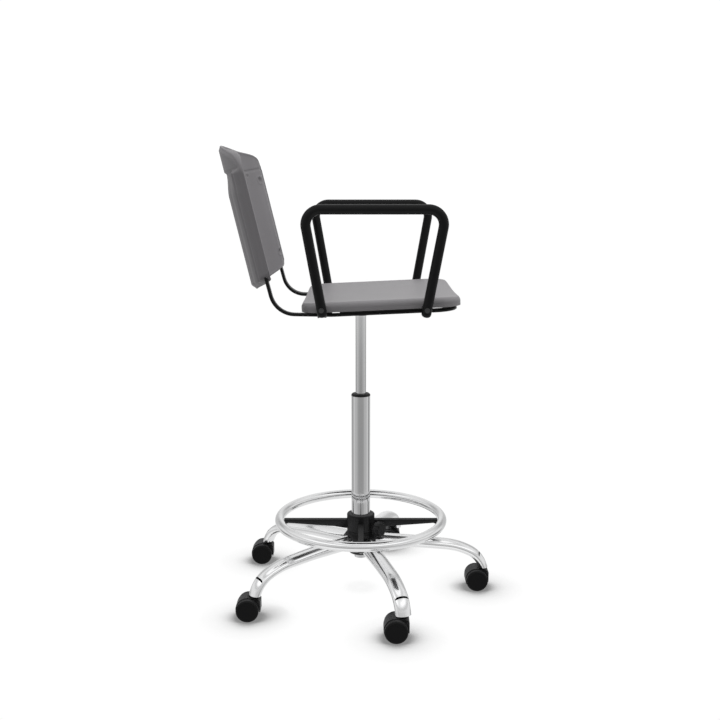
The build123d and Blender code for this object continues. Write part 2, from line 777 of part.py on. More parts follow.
def bolt_axis(radius, start, end):
    """Cylinders across the frame at the four arm feet, between two distances from the middle."""
    with BuildPart() as rods:
        for x, side in arm_bolt_places:
            with BuildSketch(Plane.XZ.offset(-side * start)):
                with Locations((x, arm_bolt_z)):
                    Circle(radius)
            extrude(amount=-side * (end - start))
    return rods.part


bar_edge_y = BAR_Y + BAR_WIDE / 2
lip_clear_y = SEAT_WIDTH / 2 + LIP_GAP
bolt_tip = lip_clear_y + LIP_GAP
bolt_head_start = ARM_FOOT_Y + ARM_TUBE_DIA / 2 - ARM_BOLT_SEAT
bolt_holes = bolt_axis(ARM_BOLT_R, bolt_tip, bolt_head_start)
bolt_heads = bolt_axis(ARM_BOLT_R * 2, bolt_head_start, bolt_head_start + ARM_BOLT_HEAD)

tilt_rad = math.radians(BACK_TILT)
back_up = (-math.sin(tilt_rad), 0, math.cos(tilt_rad))
back_forward = (math.cos(tilt_rad), 0, math.sin(tilt_rad))
back_plane = Plane(origin=BACK_FOOT, x_dir=back_forward, z_dir=back_up)


def upright_point(side, height):
    """A point on an upright's centre line, by its height above the bend's corner."""
    plane = side_plane(side)
    tilt = math.radians(UPRIGHT_TILT)
    corner_x, corner_h = BEND_CORNER
    return plane.from_local_coords((corner_x - height * math.tan(tilt), corner_h + height, 0))


def upright_direction(side):
    """The direction of an upright."""
    return (Vector(upright_point(side, UPRIGHT_LENGTH)) - Vector(upright_point(side, 0))).normalized()


def back_screw_rods(radius, rear, front):
    """Rods through the uprights and the back, along the back's forward direction."""
    with BuildPart() as rods:
        for side in (-1, 1):
            for height in BACK_SCREW_HEIGHTS:
                centre = Vector(upright_point(side, height))
                plane = Plane(origin=centre, x_dir=(0, 1, 0), z_dir=back_forward)
                with BuildSketch(plane.offset(rear)):
                    Circle(radius)
                extrude(amount=front - rear)
    return rods.part


screw_rear = -BAR_THICK / 2 - SLEEVE_WALL
screw_front = BAR_THICK / 2 + BACK_SCREW_BITE
back_screw_holes = back_screw_rods(BACK_SCREW_R, screw_rear, screw_front)
back_screw_heads = back_screw_rods(BACK_SCREW_R * 2, screw_rear - BACK_SCREW_HEAD, screw_rear)

with BuildPart() as front_bar:
    with BuildLine(seat_plane()) as path:
        scale = 1 / math.cos(math.radians(SEAT_TILT))
        start_x = FRONT_BAR_START * scale
        FilletPolyline(
            (start_x, -BAR_Y),
            (FRONT_BAR_X, -BAR_Y),
            (FRONT_BAR_X, BAR_Y),
            (start_x, BAR_Y),
            radius=FRONT_BAR_R,
        )
    with BuildSketch(Plane(origin=path.line @ 0, x_dir=(0, 1, 0), z_dir=path.line % 0)):
        SlotOverall(BAR_WIDE, BAR_THICK)
    sweep(path=path.line)
save(front_bar.part, "front_bar")

for hand, shape in side_shapes.items():
    with BuildPart() as bar:
        add(shape)
        add(back_screw_holes, mode=Mode.SUBTRACT)
        add(front_bar.part, mode=Mode.SUBTRACT)
    save(bar.part, f"side_bar_{hand}")


seat_screw_places = [(x, y) for x in (-CROSS_X, CROSS_X) for y in (-BOSS_Y, BOSS_Y)]
for name, x in (("cross_bar_front", CROSS_X), ("cross_bar_rear", -CROSS_X)):
    with BuildPart() as cross_bar:
        with BuildSketch(seat_plane(-BAR_THICK / 2)):
            with Locations((x, 0)):
                Rectangle(CROSS_WIDE, 2 * BAR_Y - BAR_WIDE + BAR_THICK)
            with Locations(*[place for place in seat_screw_places if place[0] == x]):
                Circle(SEAT_SCREW_R, mode=Mode.SUBTRACT)
        extrude(amount=BAR_THICK)
        for shape in side_shapes.values():
            add(shape, mode=Mode.SUBTRACT)
    save(cross_bar.part, name)

with BuildPart() as taper_socket:
    taper_slope = (CYLINDER_R - TAPER_TOP_R) / (CYLINDER_TOP - TAPER_BOTTOM)
    add(
        ring_profile(
            [
                (CYLINDER_R - taper_slope * (TAPER_SOCKET_BOTTOM - TAPER_BOTTOM), TAPER_SOCKET_BOTTOM),
                (TAPER_SOCKET_R, TAPER_SOCKET_BOTTOM),
                (TAPER_SOCKET_R, TAPER_SOCKET_TOP),
                (CYLINDER_R - taper_slope * (TAPER_SOCKET_TOP - TAPER_BOTTOM), TAPER_SOCKET_TOP),
            ]
        )
    )
    revolve(axis=Axis.Z)
save(taper_socket.part, "taper_socket")

with BuildPart() as seat_plate:
    with BuildSketch(seat_plane(-BAR_THICK / 2 - PLATE_THICK)):
        RectangleRounded(2 * PLATE_HALF_X, 2 * PLATE_HALF_Y, PLATE_CORNER_R)
    extrude(amount=PLATE_THICK)
    for side in (-1, 1):
        ear_x = side * (LEVER_EYE_HALF + GAP + EAR_THICK / 2)
        with BuildSketch(Plane.YZ.offset(ear_x - EAR_THICK / 2)):
            with BuildLine():
                Polyline(
                    (LEVER_PIVOT_Y - EAR_FOOT_HALF, BAR_Z - BAR_THICK),
                    (LEVER_PIVOT_Y + EAR_FOOT_HALF, BAR_Z - BAR_THICK),
                    (LEVER_PIVOT_Y + EAR_TOP_HALF, LEVER_Z + EAR_RISE),
                    (LEVER_PIVOT_Y - EAR_TOP_HALF, LEVER_Z + EAR_RISE),
                    close=True,
                )
            make_face()
            with Locations((LEVER_PIVOT_Y, LEVER_Z)):
                Circle(LEVER_PIN_R, mode=Mode.SUBTRACT)
        extrude(amount=EAR_THICK)
    with BuildSketch(Plane.XY.offset(TAPER_SOCKET_BOTTOM)):
        Circle(TAPER_SOCKET_R)
    extrude(amount=TAPER_SOCKET_R * 3, mode=Mode.SUBTRACT)
save(seat_plate.part, "seat_plate")

ear_outer = LEVER_EYE_HALF + GAP + EAR_THICK
with BuildPart() as lever_pivot:
    with BuildSketch(Plane.YZ.offset(-ear_outer)):
        with Locations((LEVER_PIVOT_Y, LEVER_Z)):
            Circle(LEVER_PIN_R)
    extrude(amount=2 * ear_outer)
    for start in (-ear_outer - PIVOT_HEAD, ear_outer):
        with BuildSketch(Plane.YZ.offset(start)):
            with Locations((LEVER_PIVOT_Y, LEVER_Z)):
                Circle(LEVER_PIN_R + PIVOT_HEAD)
        extrude(amount=PIVOT_HEAD)
save(lever_pivot.part, "lever_pivot")


def lever_rod(radius, trim=0.0):
    """The lever's bent rod, or the part of it inside the grip."""
    with BuildPart() as rod:
        with BuildLine(Plane.YZ) as path:
            if trim:
                Line((LEVER_END_Y - trim, LEVER_DROP_Z), (LEVER_END_Y, LEVER_DROP_Z))
            else:
                FilletPolyline(
                    (-LEVER_R, LEVER_Z),
                    (LEVER_PIVOT_Y + LEVER_BEND_START, LEVER_Z),
                    (LEVER_PIVOT_Y + LEVER_BEND_END, LEVER_DROP_Z),
                    (LEVER_END_Y, LEVER_DROP_Z),
                    radius=LEVER_BEND_R,
                )
        with BuildSketch(Plane(origin=path.line @ 0, x_dir=(1, 0, 0), z_dir=path.line % 0)):
            Circle(radius)
        sweep(path=path.line)
    return rod.part


with BuildPart() as height_lever:
    add(lever_rod(LEVER_R))
    with BuildSketch(Plane.YZ):
        with Locations((LEVER_PIVOT_Y, LEVER_Z)):
            Circle(LEVER_EYE_R)
    extrude(amount=LEVER_EYE_HALF, both=True)
    with BuildSketch(Plane.YZ):
        with Locations((LEVER_PIVOT_Y, LEVER_Z)):
            Circle(LEVER_PIN_R + RUN)
    extrude(amount=LEVER_EYE_HALF + GAP, both=True, mode=Mode.SUBTRACT)
save(height_lever.part, "height_lever")

with BuildPart() as lever_grip:
    with BuildSketch(Plane.XZ.offset(-(LEVER_END_Y - GRIP_LENGTH + GRIP_OVERHANG))):
        with Locations((0, LEVER_DROP_Z)):
            Ellipse(GRIP_HALF_WIDE, LEVER_R + GRIP_SKIN)
    extrude(amount=-GRIP_LENGTH)
    fillet(lever_grip.edges(), radius=GRIP_EDGE_R)
    add(lever_rod(LEVER_R, trim=GRIP_LENGTH), mode=Mode.SUBTRACT)
save(lever_grip.part, "lever_grip")


# ---- seat shell -------------------------------------------------------------
def seat_slab(inset, top, foot):
    """A rounded block in the seat plane: sides inset, edges rolled, between two heights."""
    length = SEAT_FRONT - SEAT_REAR - 2 * inset
    middle = (SEAT_FRONT + SEAT_REAR) / 2
    with BuildPart() as slab:
        with BuildSketch(seat_plane(foot)):
            with Locations((middle, 0)):
                RectangleRounded(length, SEAT_WIDTH - 2 * inset, SEAT_CORNER_R - inset)
        extrude(amount=top - foot)
        top_plane = seat_plane(top)
        upper = slab.edges().filter_by(lambda edge: abs(top_plane.to_local_coords(edge.center()).Z) < TOUCH)
        fillet(upper, radius=SEAT_EDGE_R - inset)
    return slab.part


rim = SEAT_RIM_Z - BAR_Z
lip_foot = rim - SEAT_LIP
dish_r = (SEAT_WIDTH / 2) ** 2 / (2 * SEAT_DISH)


def dish(radius_change):
    """A wide shallow trough along X, which hollows the seat."""
    with BuildPart() as trough:
        with BuildSketch(Plane.YZ):
            with Locations((0, BAR_Z + rim - SEAT_DISH + dish_r)):
                Circle(dish_r + radius_change)
        extrude(amount=2 * SEAT_FRONT, both=True)
    return trough.part.rotate(Axis((0, 0, BAR_Z), (0, 1, 0)), -SEAT_TILT)


with BuildPart() as seat_shell:
    add(seat_slab(0, rim, lip_foot))
    add(dish(0), mode=Mode.SUBTRACT)
    with BuildPart(mode=Mode.PRIVATE) as hollow:
        add(seat_slab(SEAT_SKIN, rim - SEAT_SKIN, lip_foot))
        add(dish(SEAT_SKIN), mode=Mode.SUBTRACT)
    add(hollow.part, mode=Mode.SUBTRACT)
    with BuildSketch(seat_plane(BAR_THICK / 2)):
        with Locations(*seat_screw_places):
            Circle(BOSS_R)
    boss_dish = SEAT_DISH * (1 - (2 * BOSS_Y / SEAT_WIDTH) ** 2)
    extrude(amount=rim - boss_dish - SEAT_SKIN / 2 - BAR_THICK / 2)
    with BuildSketch(seat_plane(BAR_THICK / 2)):
        with Locations(*seat_screw_places):
            Circle(SEAT_SCREW_R)
    extrude(amount=SEAT_SCREW_BITE, mode=Mode.SUBTRACT)
save(seat_shell.part, "seat_shell")

with BuildPart() as seat_screws:
    with BuildSketch(seat_plane(-BAR_THICK / 2 - SEAT_SCREW_HEAD)):
        with Locations(*seat_screw_places):
            Circle(SEAT_SCREW_R * 2)
    extrude(amount=SEAT_SCREW_HEAD)
    with BuildSketch(seat_plane(-BAR_THICK / 2)):
        with Locations(*seat_screw_places):
            Circle(SEAT_SCREW_R)
    extrude(amount=BAR_THICK + SEAT_SCREW_BITE)
save(seat_screws.part, "seat_screws")

with BuildPart() as seat_pads:
    pad_y = bar_edge_y - BAR_THICK / 2 - PAD_WIDE / 2 + PAD_OUT
    pad_foot = BAR_THICK / 2
    with BuildSketch(seat_plane(pad_foot)):
        for side in (-1, 1):
            with Locations(((FRONT_BAR_START + LEVEL_START + PAD_INSET) / 2, side * pad_y)):
                Rectangle(FRONT_BAR_START - LEVEL_START - PAD_INSET, PAD_WIDE)
    extrude(amount=lip_foot - pad_foot)
    for shape in side_shapes.values():
        add(shape, mode=Mode.SUBTRACT)
save(seat_pads.part, "seat_pads")


# ---- back shell -------------------------------------------------------------
def back_outline():
    """The back's outline, as a prism along its forward direction."""
    outline_plane = Plane(origin=BACK_FOOT, x_dir=(0, 1, 0), z_dir=back_forward)
    half = BACK_WIDTH / 2
    with BuildPart() as prism:
        with BuildSketch(outline_plane.offset(-2 * BACK_RIB_DEPTH)) as outline:
            with BuildLine():
                lower = ThreePointArc((-half, BACK_FOOT_RISE), (0, 0), (half, BACK_FOOT_RISE))
                right = Line(lower @ 1, (half, BACK_HEIGHT - BACK_TOP_DROP))
                upper = ThreePointArc(right @ 1, (0, BACK_HEIGHT), (-half, BACK_HEIGHT - BACK_TOP_DROP))
                Line(upper @ 1, lower @ 0)
            make_face()
            fillet(outline.vertices().group_by(Axis.Z)[0], radius=BACK_FOOT_R)
            fillet(outline.vertices().group_by(Axis.Z)[-1], radius=BACK_TOP_R)
        extrude(amount=BACK_CURVE_R)
    return prism.part


def back_band(inner, outer, foot, top):
    """Part of a tube wall about an axis in front of the back, between two heights."""
    with BuildPart() as band:
        with BuildSketch(back_plane.offset(foot)):
            with Locations((BACK_SKIN + BACK_CURVE_R, 0)):
                Circle(outer)
                Circle(inner, mode=Mode.SUBTRACT)
            with Locations((BACK_WIDTH / 4, 0)):
                Rectangle(BACK_WIDTH, BACK_WIDTH + BACK_SKIN, mode=Mode.INTERSECT)
        extrude(amount=top - foot)
    return band.part


with BuildPart() as back_shell:
    add(back_band(BACK_CURVE_R, BACK_CURVE_R + BACK_SKIN, 0, BACK_HEIGHT))
    skin_r = BACK_CURVE_R + BACK_SKIN
    add(back_band(skin_r, skin_r + BACK_BAND, BACK_BAND_FOOT, BACK_HEIGHT))
    with BuildSketch(back_plane):
        with Locations((BACK_SKIN + BACK_CURVE_R, 0)):
            rib_r = skin_r + BACK_RIB_DEPTH / 2 - BACK_RIB_BITE
            first = 180 - BACK_RIB_SPREAD / 2
            with PolarLocations(rib_r, BACK_RIBS, first, BACK_RIB_SPREAD, endpoint=True):
                Rectangle(BACK_RIB_DEPTH + 2 * BACK_RIB_BITE, BACK_RIB_WIDE)
    extrude(amount=BACK_RIB_TOP)
    add(back_outline(), mode=Mode.INTERSECT)
    for side in (-1, 1):
        foot_point = upright_point(side, SLEEVE_START)
        with BuildSketch(Plane(origin=foot_point, x_dir=(0, 1, 0), z_dir=upright_direction(side))):
            SlotOverall(BAR_WIDE + 2 * SLEEVE_WALL, BAR_THICK + 2 * SLEEVE_WALL)
        extrude(amount=UPRIGHT_LENGTH - SLEEVE_START)
    for shape in side_shapes.values():
        add(shape, mode=Mode.SUBTRACT)
    add(back_screw_holes, mode=Mode.SUBTRACT)
    add(back_screw_heads, mode=Mode.SUBTRACT)
save(back_shell.part, "back_shell")

with BuildPart() as back_screws:
    add(back_screw_heads)
    add(back_screw_holes)
save(back_screws.part, "back_screws")


# ---- arms -------------------------------------------------------------------
def arm_plane(side):
    """The plane of one arm loop, which leans out towards its top."""
    foot = Vector(0, side * ARM_FOOT_Y, ARM_FOOT_Z)
    top = Vector(0, side * ARM_TOP_Y, ARM_TOP_Z)
    along = Vector(1, 0, 0)
    return Plane(origin=foot, x_dir=along, z_dir=along.cross((top - foot).normalized()))


def arm_sweep(side, radius, drop):
    """An inverted U of round rod, whose feet reach down past the foot line by a drop."""
    plane = arm_plane(side)
    rise = math.hypot(ARM_TOP_Z - ARM_FOOT_Z, ARM_TOP_Y - ARM_FOOT_Y)
    rear_shift = drop * (ARM_REAR_FOOT - ARM_REAR_TOP) / rise
    front_shift = drop * (ARM_FRONT_FOOT - ARM_FRONT_TOP) / rise
    with BuildPart() as arm:
        with BuildLine(plane) as path:
            FilletPolyline(
                (ARM_REAR_FOOT + rear_shift, -drop),
                (ARM_REAR_TOP, rise),
                (ARM_FRONT_TOP, rise),
                (ARM_FRONT_FOOT + front_shift, -drop),
                radius=ARM_BEND_R,
            )
        with BuildSketch(Plane(origin=path.line @ 0, x_dir=plane.z_dir, z_dir=path.line % 0)):
            Circle(radius)
        sweep(path=path.line)
    return arm.part


def arm_loop(side):
    """An arm loop: a bent tube with closed, rounded feet and its bolt holes."""
    radius = ARM_TUBE_DIA / 2
    with BuildPart() as arm:
        add(arm_sweep(side, radius, radius))
        feet = arm.edges().filter_by(GeomType.CIRCLE).sort_by(Axis.Z)[:2]
        fillet(feet, radius=ARM_FOOT_ROUND)
        add(arm_sweep(side, radius - ARM_WALL, -ARM_WALL), mode=Mode.SUBTRACT)
        add(bolt_holes, mode=Mode.SUBTRACT)
        add(bolt_heads, mode=Mode.SUBTRACT)
    return arm.part


save(arm_loop(1), "arm_left")
save(arm_loop(-1), "arm_right")

with BuildPart() as arm_brackets:
    for side in (-1, 1):
        plane = arm_plane(side)
        for foot_x, top_x in ((ARM_REAR_FOOT, ARM_REAR_TOP), (ARM_FRONT_FOOT, ARM_FRONT_TOP)):
            foot = plane.from_local_coords(Vector(foot_x, 0, 0))
            leg_up = plane.from_local_coords(Vector(top_x, ARM_TOP_Z - ARM_FOOT_Z, 0)) - foot
            weld_z = upright_bar_height(foot_x) - BAR_THICK / 2 + BRACKET_RISE
            with BuildPart(mode=Mode.PRIVATE) as bracket:
                for start, height in (
                    (bar_edge_y - BAR_THICK / 2, BAR_THICK - BRACKET_GAP - BRACKET_RISE),
                    (lip_clear_y, BRACKET_TOP - weld_z),
                ):
                    with Locations((foot_x, side * (start + ARM_FOOT_Y) / 2, weld_z)):
                        Box(
                            BRACKET_WIDE,
                            ARM_FOOT_Y - start,
                            height,
                            align=(Align.CENTER, Align.CENTER, Align.MIN),
                        )
                with BuildSketch(Plane(origin=foot, x_dir=plane.z_dir, z_dir=leg_up)):
                    Circle(ARM_TUBE_DIA / 2)
                extrude(amount=3 * BRACKET_WIDE, both=True, mode=Mode.SUBTRACT)
                add(side_shapes["left" if side > 0 else "right"], mode=Mode.SUBTRACT)
                add(bolt_holes, mode=Mode.SUBTRACT)
            add(bracket.part.solids().sort_by(SortBy.VOLUME)[-1])
save(arm_brackets.part, "arm_brackets")

with BuildPart() as arm_bolts:
    add(bolt_holes)
    add(bolt_heads)
save(arm_bolts.part, "arm_bolts")
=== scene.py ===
"""Looks of the high swivel chair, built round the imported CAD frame. Metres, +X forward, +Z up."""

import bpy
import bmesh
import json
import math
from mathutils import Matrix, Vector


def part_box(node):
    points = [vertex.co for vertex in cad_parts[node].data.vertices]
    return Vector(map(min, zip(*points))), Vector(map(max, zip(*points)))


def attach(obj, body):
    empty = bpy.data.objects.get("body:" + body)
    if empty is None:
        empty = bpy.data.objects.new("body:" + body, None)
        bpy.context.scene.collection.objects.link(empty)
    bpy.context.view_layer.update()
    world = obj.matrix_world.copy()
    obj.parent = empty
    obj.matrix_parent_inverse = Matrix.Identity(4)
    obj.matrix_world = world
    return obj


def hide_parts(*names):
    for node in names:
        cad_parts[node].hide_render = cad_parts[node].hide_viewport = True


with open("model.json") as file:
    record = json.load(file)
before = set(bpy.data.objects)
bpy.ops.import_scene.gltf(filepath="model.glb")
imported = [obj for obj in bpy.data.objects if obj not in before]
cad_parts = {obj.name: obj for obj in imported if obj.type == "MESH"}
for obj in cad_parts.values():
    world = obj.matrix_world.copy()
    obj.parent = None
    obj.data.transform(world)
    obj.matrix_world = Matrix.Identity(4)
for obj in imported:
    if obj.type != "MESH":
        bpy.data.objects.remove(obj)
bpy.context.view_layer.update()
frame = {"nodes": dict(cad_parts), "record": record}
scene = bpy.context.scene
NODES = frame["nodes"]

# ---------------------------------------------------------------- materials


def new_material(name):
    """A node material that holds one principled shader, wired to its output."""
    mat = bpy.data.materials.new(name)
    mat.use_nodes = True
    tree = mat.node_tree
    tree.nodes.clear()
    out = tree.nodes.new("ShaderNodeOutputMaterial")
    shader = tree.nodes.new("ShaderNodeBsdfPrincipled")
    tree.links.new(shader.outputs["BSDF"], out.inputs["Surface"])
    return mat, tree, shader


def coords(tree, stretch=(1, 1, 1), turn=(0, 0, 0)):
    """Object coordinates, in metres, stretched and turned."""
    coord = tree.nodes.new("ShaderNodeTexCoord")
    mapping = tree.nodes.new("ShaderNodeMapping")
    mapping.inputs["Scale"].default_value = stretch
    mapping.inputs["Rotation"].default_value = turn
    tree.links.new(coord.outputs["Object"], mapping.inputs["Vector"])
    return mapping.outputs["Vector"]


def noise(tree, vector, scale, detail=3.0, roughness=0.55):
    node = tree.nodes.new("ShaderNodeTexNoise")
    node.inputs["Scale"].default_value = scale
    node.inputs["Detail"].default_value = detail
    node.inputs["Roughness"].default_value = roughness
    tree.links.new(vector, node.inputs["Vector"])
    return node.outputs["Fac"]


def remap(tree, value, low, high, start=0.3, stop=0.7):
    node = tree.nodes.new("ShaderNodeMapRange")
    node.inputs["From Min"].default_value = start
    node.inputs["From Max"].default_value = stop
    node.inputs["To Min"].default_value = low
    node.inputs["To Max"].default_value = high
    tree.links.new(value, node.inputs["Value"])
    return node.outputs["Result"]


def mix_colours(tree, value, first, second):
    node = tree.nodes.new("ShaderNodeMix")
    node.data_type = "RGBA"
    node.inputs[6].default_value = (*first, 1)
    node.inputs[7].default_value = (*second, 1)
    tree.links.new(value, node.inputs[0])
    return node.outputs[2]


def bump(tree, height, distance, strength=1.0, below=None):
    node = tree.nodes.new("ShaderNodeBump")
    node.inputs["Distance"].default_value = distance
    node.inputs["Strength"].default_value = strength
    tree.links.new(height, node.inputs["Height"])
    if below is not None:
        tree.links.new(below, node.inputs["Normal"])
    return node.outputs["Normal"]


def edge_mask(tree, reach=0.6):
    """Near 1 on sharp outer edges, from the mesh's pointiness; it places the painted edge highlight."""
    node = tree.nodes.new("ShaderNodeNewGeometry")
    return remap(tree, node.outputs["Pointiness"], 0.0, 1.0, 0.5 + 0.04 * reach, 0.5 + 0.12 * reach)


def chrome(name, tone, rough, streak=(1, 1, 1), wave=0.00006):
    """Polished plating: an uneven polish, fine drawn lines and a slow waviness under the shine."""
    mat, tree, shader = new_material(name)
    shader.inputs["Metallic"].default_value = 1.0
    base = coords(tree)
    drawn = coords(tree, streak)
    patches = noise(tree, base, 26.0, 4.0)
    dulled = (tone * 0.95, tone * 0.955, tone * 0.965)
    tree.links.new(mix_colours(tree, patches, dulled, (tone,) * 3), shader.inputs["Base Color"])
    lines = noise(tree, drawn, 420.0, 2.0)
    tree.links.new(remap(tree, lines, *rough), shader.inputs["Roughness"])
    slow = bump(tree, noise(tree, base, 18.0, 1.0), wave)
    tree.links.new(bump(tree, lines, 0.000002, 1.0, slow), shader.inputs["Normal"])
    return mat


def moulded(name, dark, light, rough, grain, pitch, level, edge_highlight=None):
    """Moulded plastic: a fine spark-eroded grain, a slow cloudy tone and, if an edge colour is given, a
    painted highlight that makes sharp outer edges lighter.
    """
    mat, tree, shader = new_material(name)
    shader.inputs["Specular IOR Level"].default_value = level
    base = coords(tree)
    clouds = noise(tree, base, 9.0, 5.0)
    colour = mix_colours(tree, clouds, dark, light)
    # painted highlight: a lighter colour mixed in on sharp outer edges, where light would catch them
    if edge_highlight:
        blend = tree.nodes.new("ShaderNodeMix")
        blend.data_type = "RGBA"
        tree.links.new(edge_mask(tree), blend.inputs[0])
        tree.links.new(colour, blend.inputs[6])
        blend.inputs[7].default_value = (*edge_highlight, 1)
        colour = blend.outputs[2]
    tree.links.new(colour, shader.inputs["Base Color"])
    fine = noise(tree, base, pitch, 3.0, 0.6)
    tree.links.new(remap(tree, fine, *rough), shader.inputs["Roughness"])
    tree.links.new(bump(tree, fine, grain), shader.inputs["Normal"])
    return mat


def coated(name, dark, light, rough=(0.30, 0.42), peel=0.00003, level=0.12):
    """Black coating: an orange-peel ripple, a cloudy tone and a soft uneven sheen."""
    mat, tree, shader = new_material(name)
    shader.inputs["Specular IOR Level"].default_value = level
    shader.inputs["Coat Weight"].default_value = 0.04
    shader.inputs["Coat Roughness"].default_value = 0.25
    base = coords(tree)
    clouds = noise(tree, base, 30.0, 4.0)
    tree.links.new(mix_colours(tree, clouds, dark, light), shader.inputs["Base Color"])
    ripple = noise(tree, base, 520.0, 2.0)
    sheen = noise(tree, base, 70.0, 4.0)
    tree.links.new(remap(tree, sheen, *rough), shader.inputs["Roughness"])
    tree.links.new(bump(tree, ripple, peel), shader.inputs["Normal"])
    return mat


def ground_steel(name, tone=0.55):
    """Turned or ground steel: fine rings and an uneven dull polish."""
    mat, tree, shader = new_material(name)
    shader.inputs["Metallic"].default_value = 1.0
    base = coords(tree)
    lines = noise(tree, coords(tree, (1, 1, 14)), 260.0, 3.0)
    patches = noise(tree, base, 60.0)
    colour = mix_colours(tree, patches, (tone * 0.85,) * 3, (tone, tone, tone * 1.02))
    tree.links.new(colour, shader.inputs["Base Color"])
    tree.links.new(remap(tree, lines, 0.18, 0.36), shader.inputs["Roughness"])
    tree.links.new(bump(tree, lines, 0.000012), shader.inputs["Normal"])
    return mat


CHROME_TUBE = chrome("chrome_tube", 0.80, (0.05, 0.10), (1, 1, 0.03))
CHROME_LIFT = chrome("chrome_lift", 0.70, (0.10, 0.17), (1, 1, 0.05))
CHROME_LEG = chrome("chrome_leg", 0.82, (0.13, 0.20), (1, 1, 1), 0.00016)
CHROME_RING = chrome("chrome_ring", 0.80, (0.10, 0.16), (1, 1, 1), 0.00008)
GREY_ROUGH, GREY_GRAIN, GREY_PITCH, GREY_LEVEL = (0.46, 0.60), 0.00006, 1100.0, 0.4
# colour of the painted edge highlight on the sharp edges of the black plastics
PAINTED_EDGE_HIGHLIGHT = (0.030, 0.030, 0.031)
SEAT_PLASTIC = moulded("grey_seat_plastic", (0.216, 0.209, 0.217), (0.244, 0.236, 0.245),
                       GREY_ROUGH, GREY_GRAIN, GREY_PITCH, GREY_LEVEL)
# painted shade: the back shell gets a copy of the seat plastic with the same grain and roughness but a
# darker colour
SHADED_BACK_PLASTIC = moulded("grey_back_plastic_painted_shade", (0.198, 0.190, 0.200), (0.224, 0.215, 0.226),
                       GREY_ROUGH, GREY_GRAIN, GREY_PITCH, GREY_LEVEL)
HUB_PLASTIC = moulded("black_glass_filled", (0.0062, 0.0062, 0.0066), (0.0105, 0.0105, 0.011),
                      (0.42, 0.60), 0.00008, 700.0, 0.14, PAINTED_EDGE_HIGHLIGHT)
HOOD_PLASTIC = moulded("black_hood_plastic", (0.0042, 0.0042, 0.0046), (0.0072, 0.0072, 0.0076),
                       (0.36, 0.50), 0.00005, 900.0, 0.14, PAINTED_EDGE_HIGHLIGHT)
WHEEL_PLASTIC = moulded("black_wheel_nylon", (0.0030, 0.0030, 0.0033), (0.0052, 0.0052, 0.0055),
                        (0.38, 0.55), 0.00004, 800.0, 0.12, PAINTED_EDGE_HIGHLIGHT)
RUBBER = moulded("black_rubber", (0.010, 0.010, 0.010), (0.016, 0.016, 0.016),
                 (0.65, 0.85), 0.0001, 500.0, 0.25)
BLACK_COAT = coated("black_powder_coat", (0.0036, 0.0036, 0.0040), (0.0062, 0.0062, 0.0066))
BLACK_SCREW = coated("black_oxide_screw", (0.016, 0.016, 0.017), (0.03, 0.03, 0.031),
                     (0.25, 0.4), 0.00001, 0.6)
STEEL = ground_steel("ground_steel")

FINISH = {
    "column_tube": CHROME_TUBE, "gas_cylinder": CHROME_LIFT, "foot_ring": CHROME_RING,
    "seat_shell": SEAT_PLASTIC, "back_shell": SHADED_BACK_PLASTIC, "seat_pads": RUBBER,
    "seat_screws": BLACK_SCREW, "back_screws": BLACK_SCREW, "arm_bolts": BLACK_SCREW,
}
FINISH_BY_SLOT = {
    "chrome": CHROME_LEG, "black_steel": BLACK_COAT, "grey_plastic": SEAT_PLASTIC,
    "black_plastic": HUB_PLASTIC, "wheel_plastic": WHEEL_PLASTIC, "bright_steel": STEEL,
    "black_screw": BLACK_SCREW, "rubber": RUBBER,
}
SLOT_OF = {part["node"]: part["material_slot"] for part in frame["record"]["subparts"]}


def finish_of(node):
    if node in FINISH:
        return FINISH[node]
    if node.endswith("_hood"):
        return HOOD_PLASTIC
    return FINISH_BY_SLOT[SLOT_OF[node]]


for node, obj in NODES.items():
    obj.data.materials.clear()
    obj.data.materials.append(finish_of(node))

# ---------------------------------------------------------------- back shell

BACK_TILT = math.radians(13.4)
BACK_CURVE = 0.470
BACK_SKIN = 0.005
BACK_UP = Vector((-math.sin(BACK_TILT), 0, math.cos(BACK_TILT)))
BACK_AHEAD = Vector((math.cos(BACK_TILT), 0, math.sin(BACK_TILT)))
BACK_HEIGHT = 0.368
FOOT_ARC, FOOT_CORNER = 0.0305, 0.022
TOP_ARC, TOP_CORNER = 0.047, 0.045
EDGE_ROUND = 0.0028
RIM_STEPS = (0.0, 0.0003, 0.0009, 0.0018, 0.0030, 0.0046, 0.0064)
CELL = 0.0026
BAND_FOOT, BAND_DEEP = 0.297, 0.0045
CREASE_DEEP, BAND_STEP = 0.0012, 0.0007
SWELL_RISE, SWELL_IN, SWELL_OUT = 0.0102, (0.125, 0.186), (0.200, 0.231)  # front, over each bar
BEAD_RISE, BEAD_FROM_EDGE, BEAD_WIDE = 0.0014, 0.0045, 0.0016
BULGE_DEEP, BULGE_TOP, BULGE_SIDE, CHANNEL_PITCH = 0.0085, (0.236, 0.296), (0.182, 0.200), 0.0445
BAR_DEEP, BAR_IN, BAR_OUT, BAR_TOP = 0.0162, (0.170, 0.198), (0.2235, 0.2318), (0.289, 0.299)
BAR_CHANNEL_FROM, BAR_CHANNEL_PITCH, BAR_THIN_FROM = 0.176, 0.016, (0.235, 0.265)
DIMPLES = (  # how far out, how far up, radius, depth
    (0.193, 0.268, 0.0090, 0.0046),
    (0.205, 0.067, 0.0090, 0.0046),
    (0.147, 0.285, 0.0050, 0.0026),
)


def smooth(value, low, high):
    share = max(0.0, min(1.0, (value - low) / (high - low)))
    return share * share * (3 - 2 * share)


def curve_depth(y):
    """Forward place of the plain curve's front, from its rearmost line."""
    return BACK_SKIN + BACK_CURVE - math.sqrt(BACK_CURVE ** 2 - y * y)


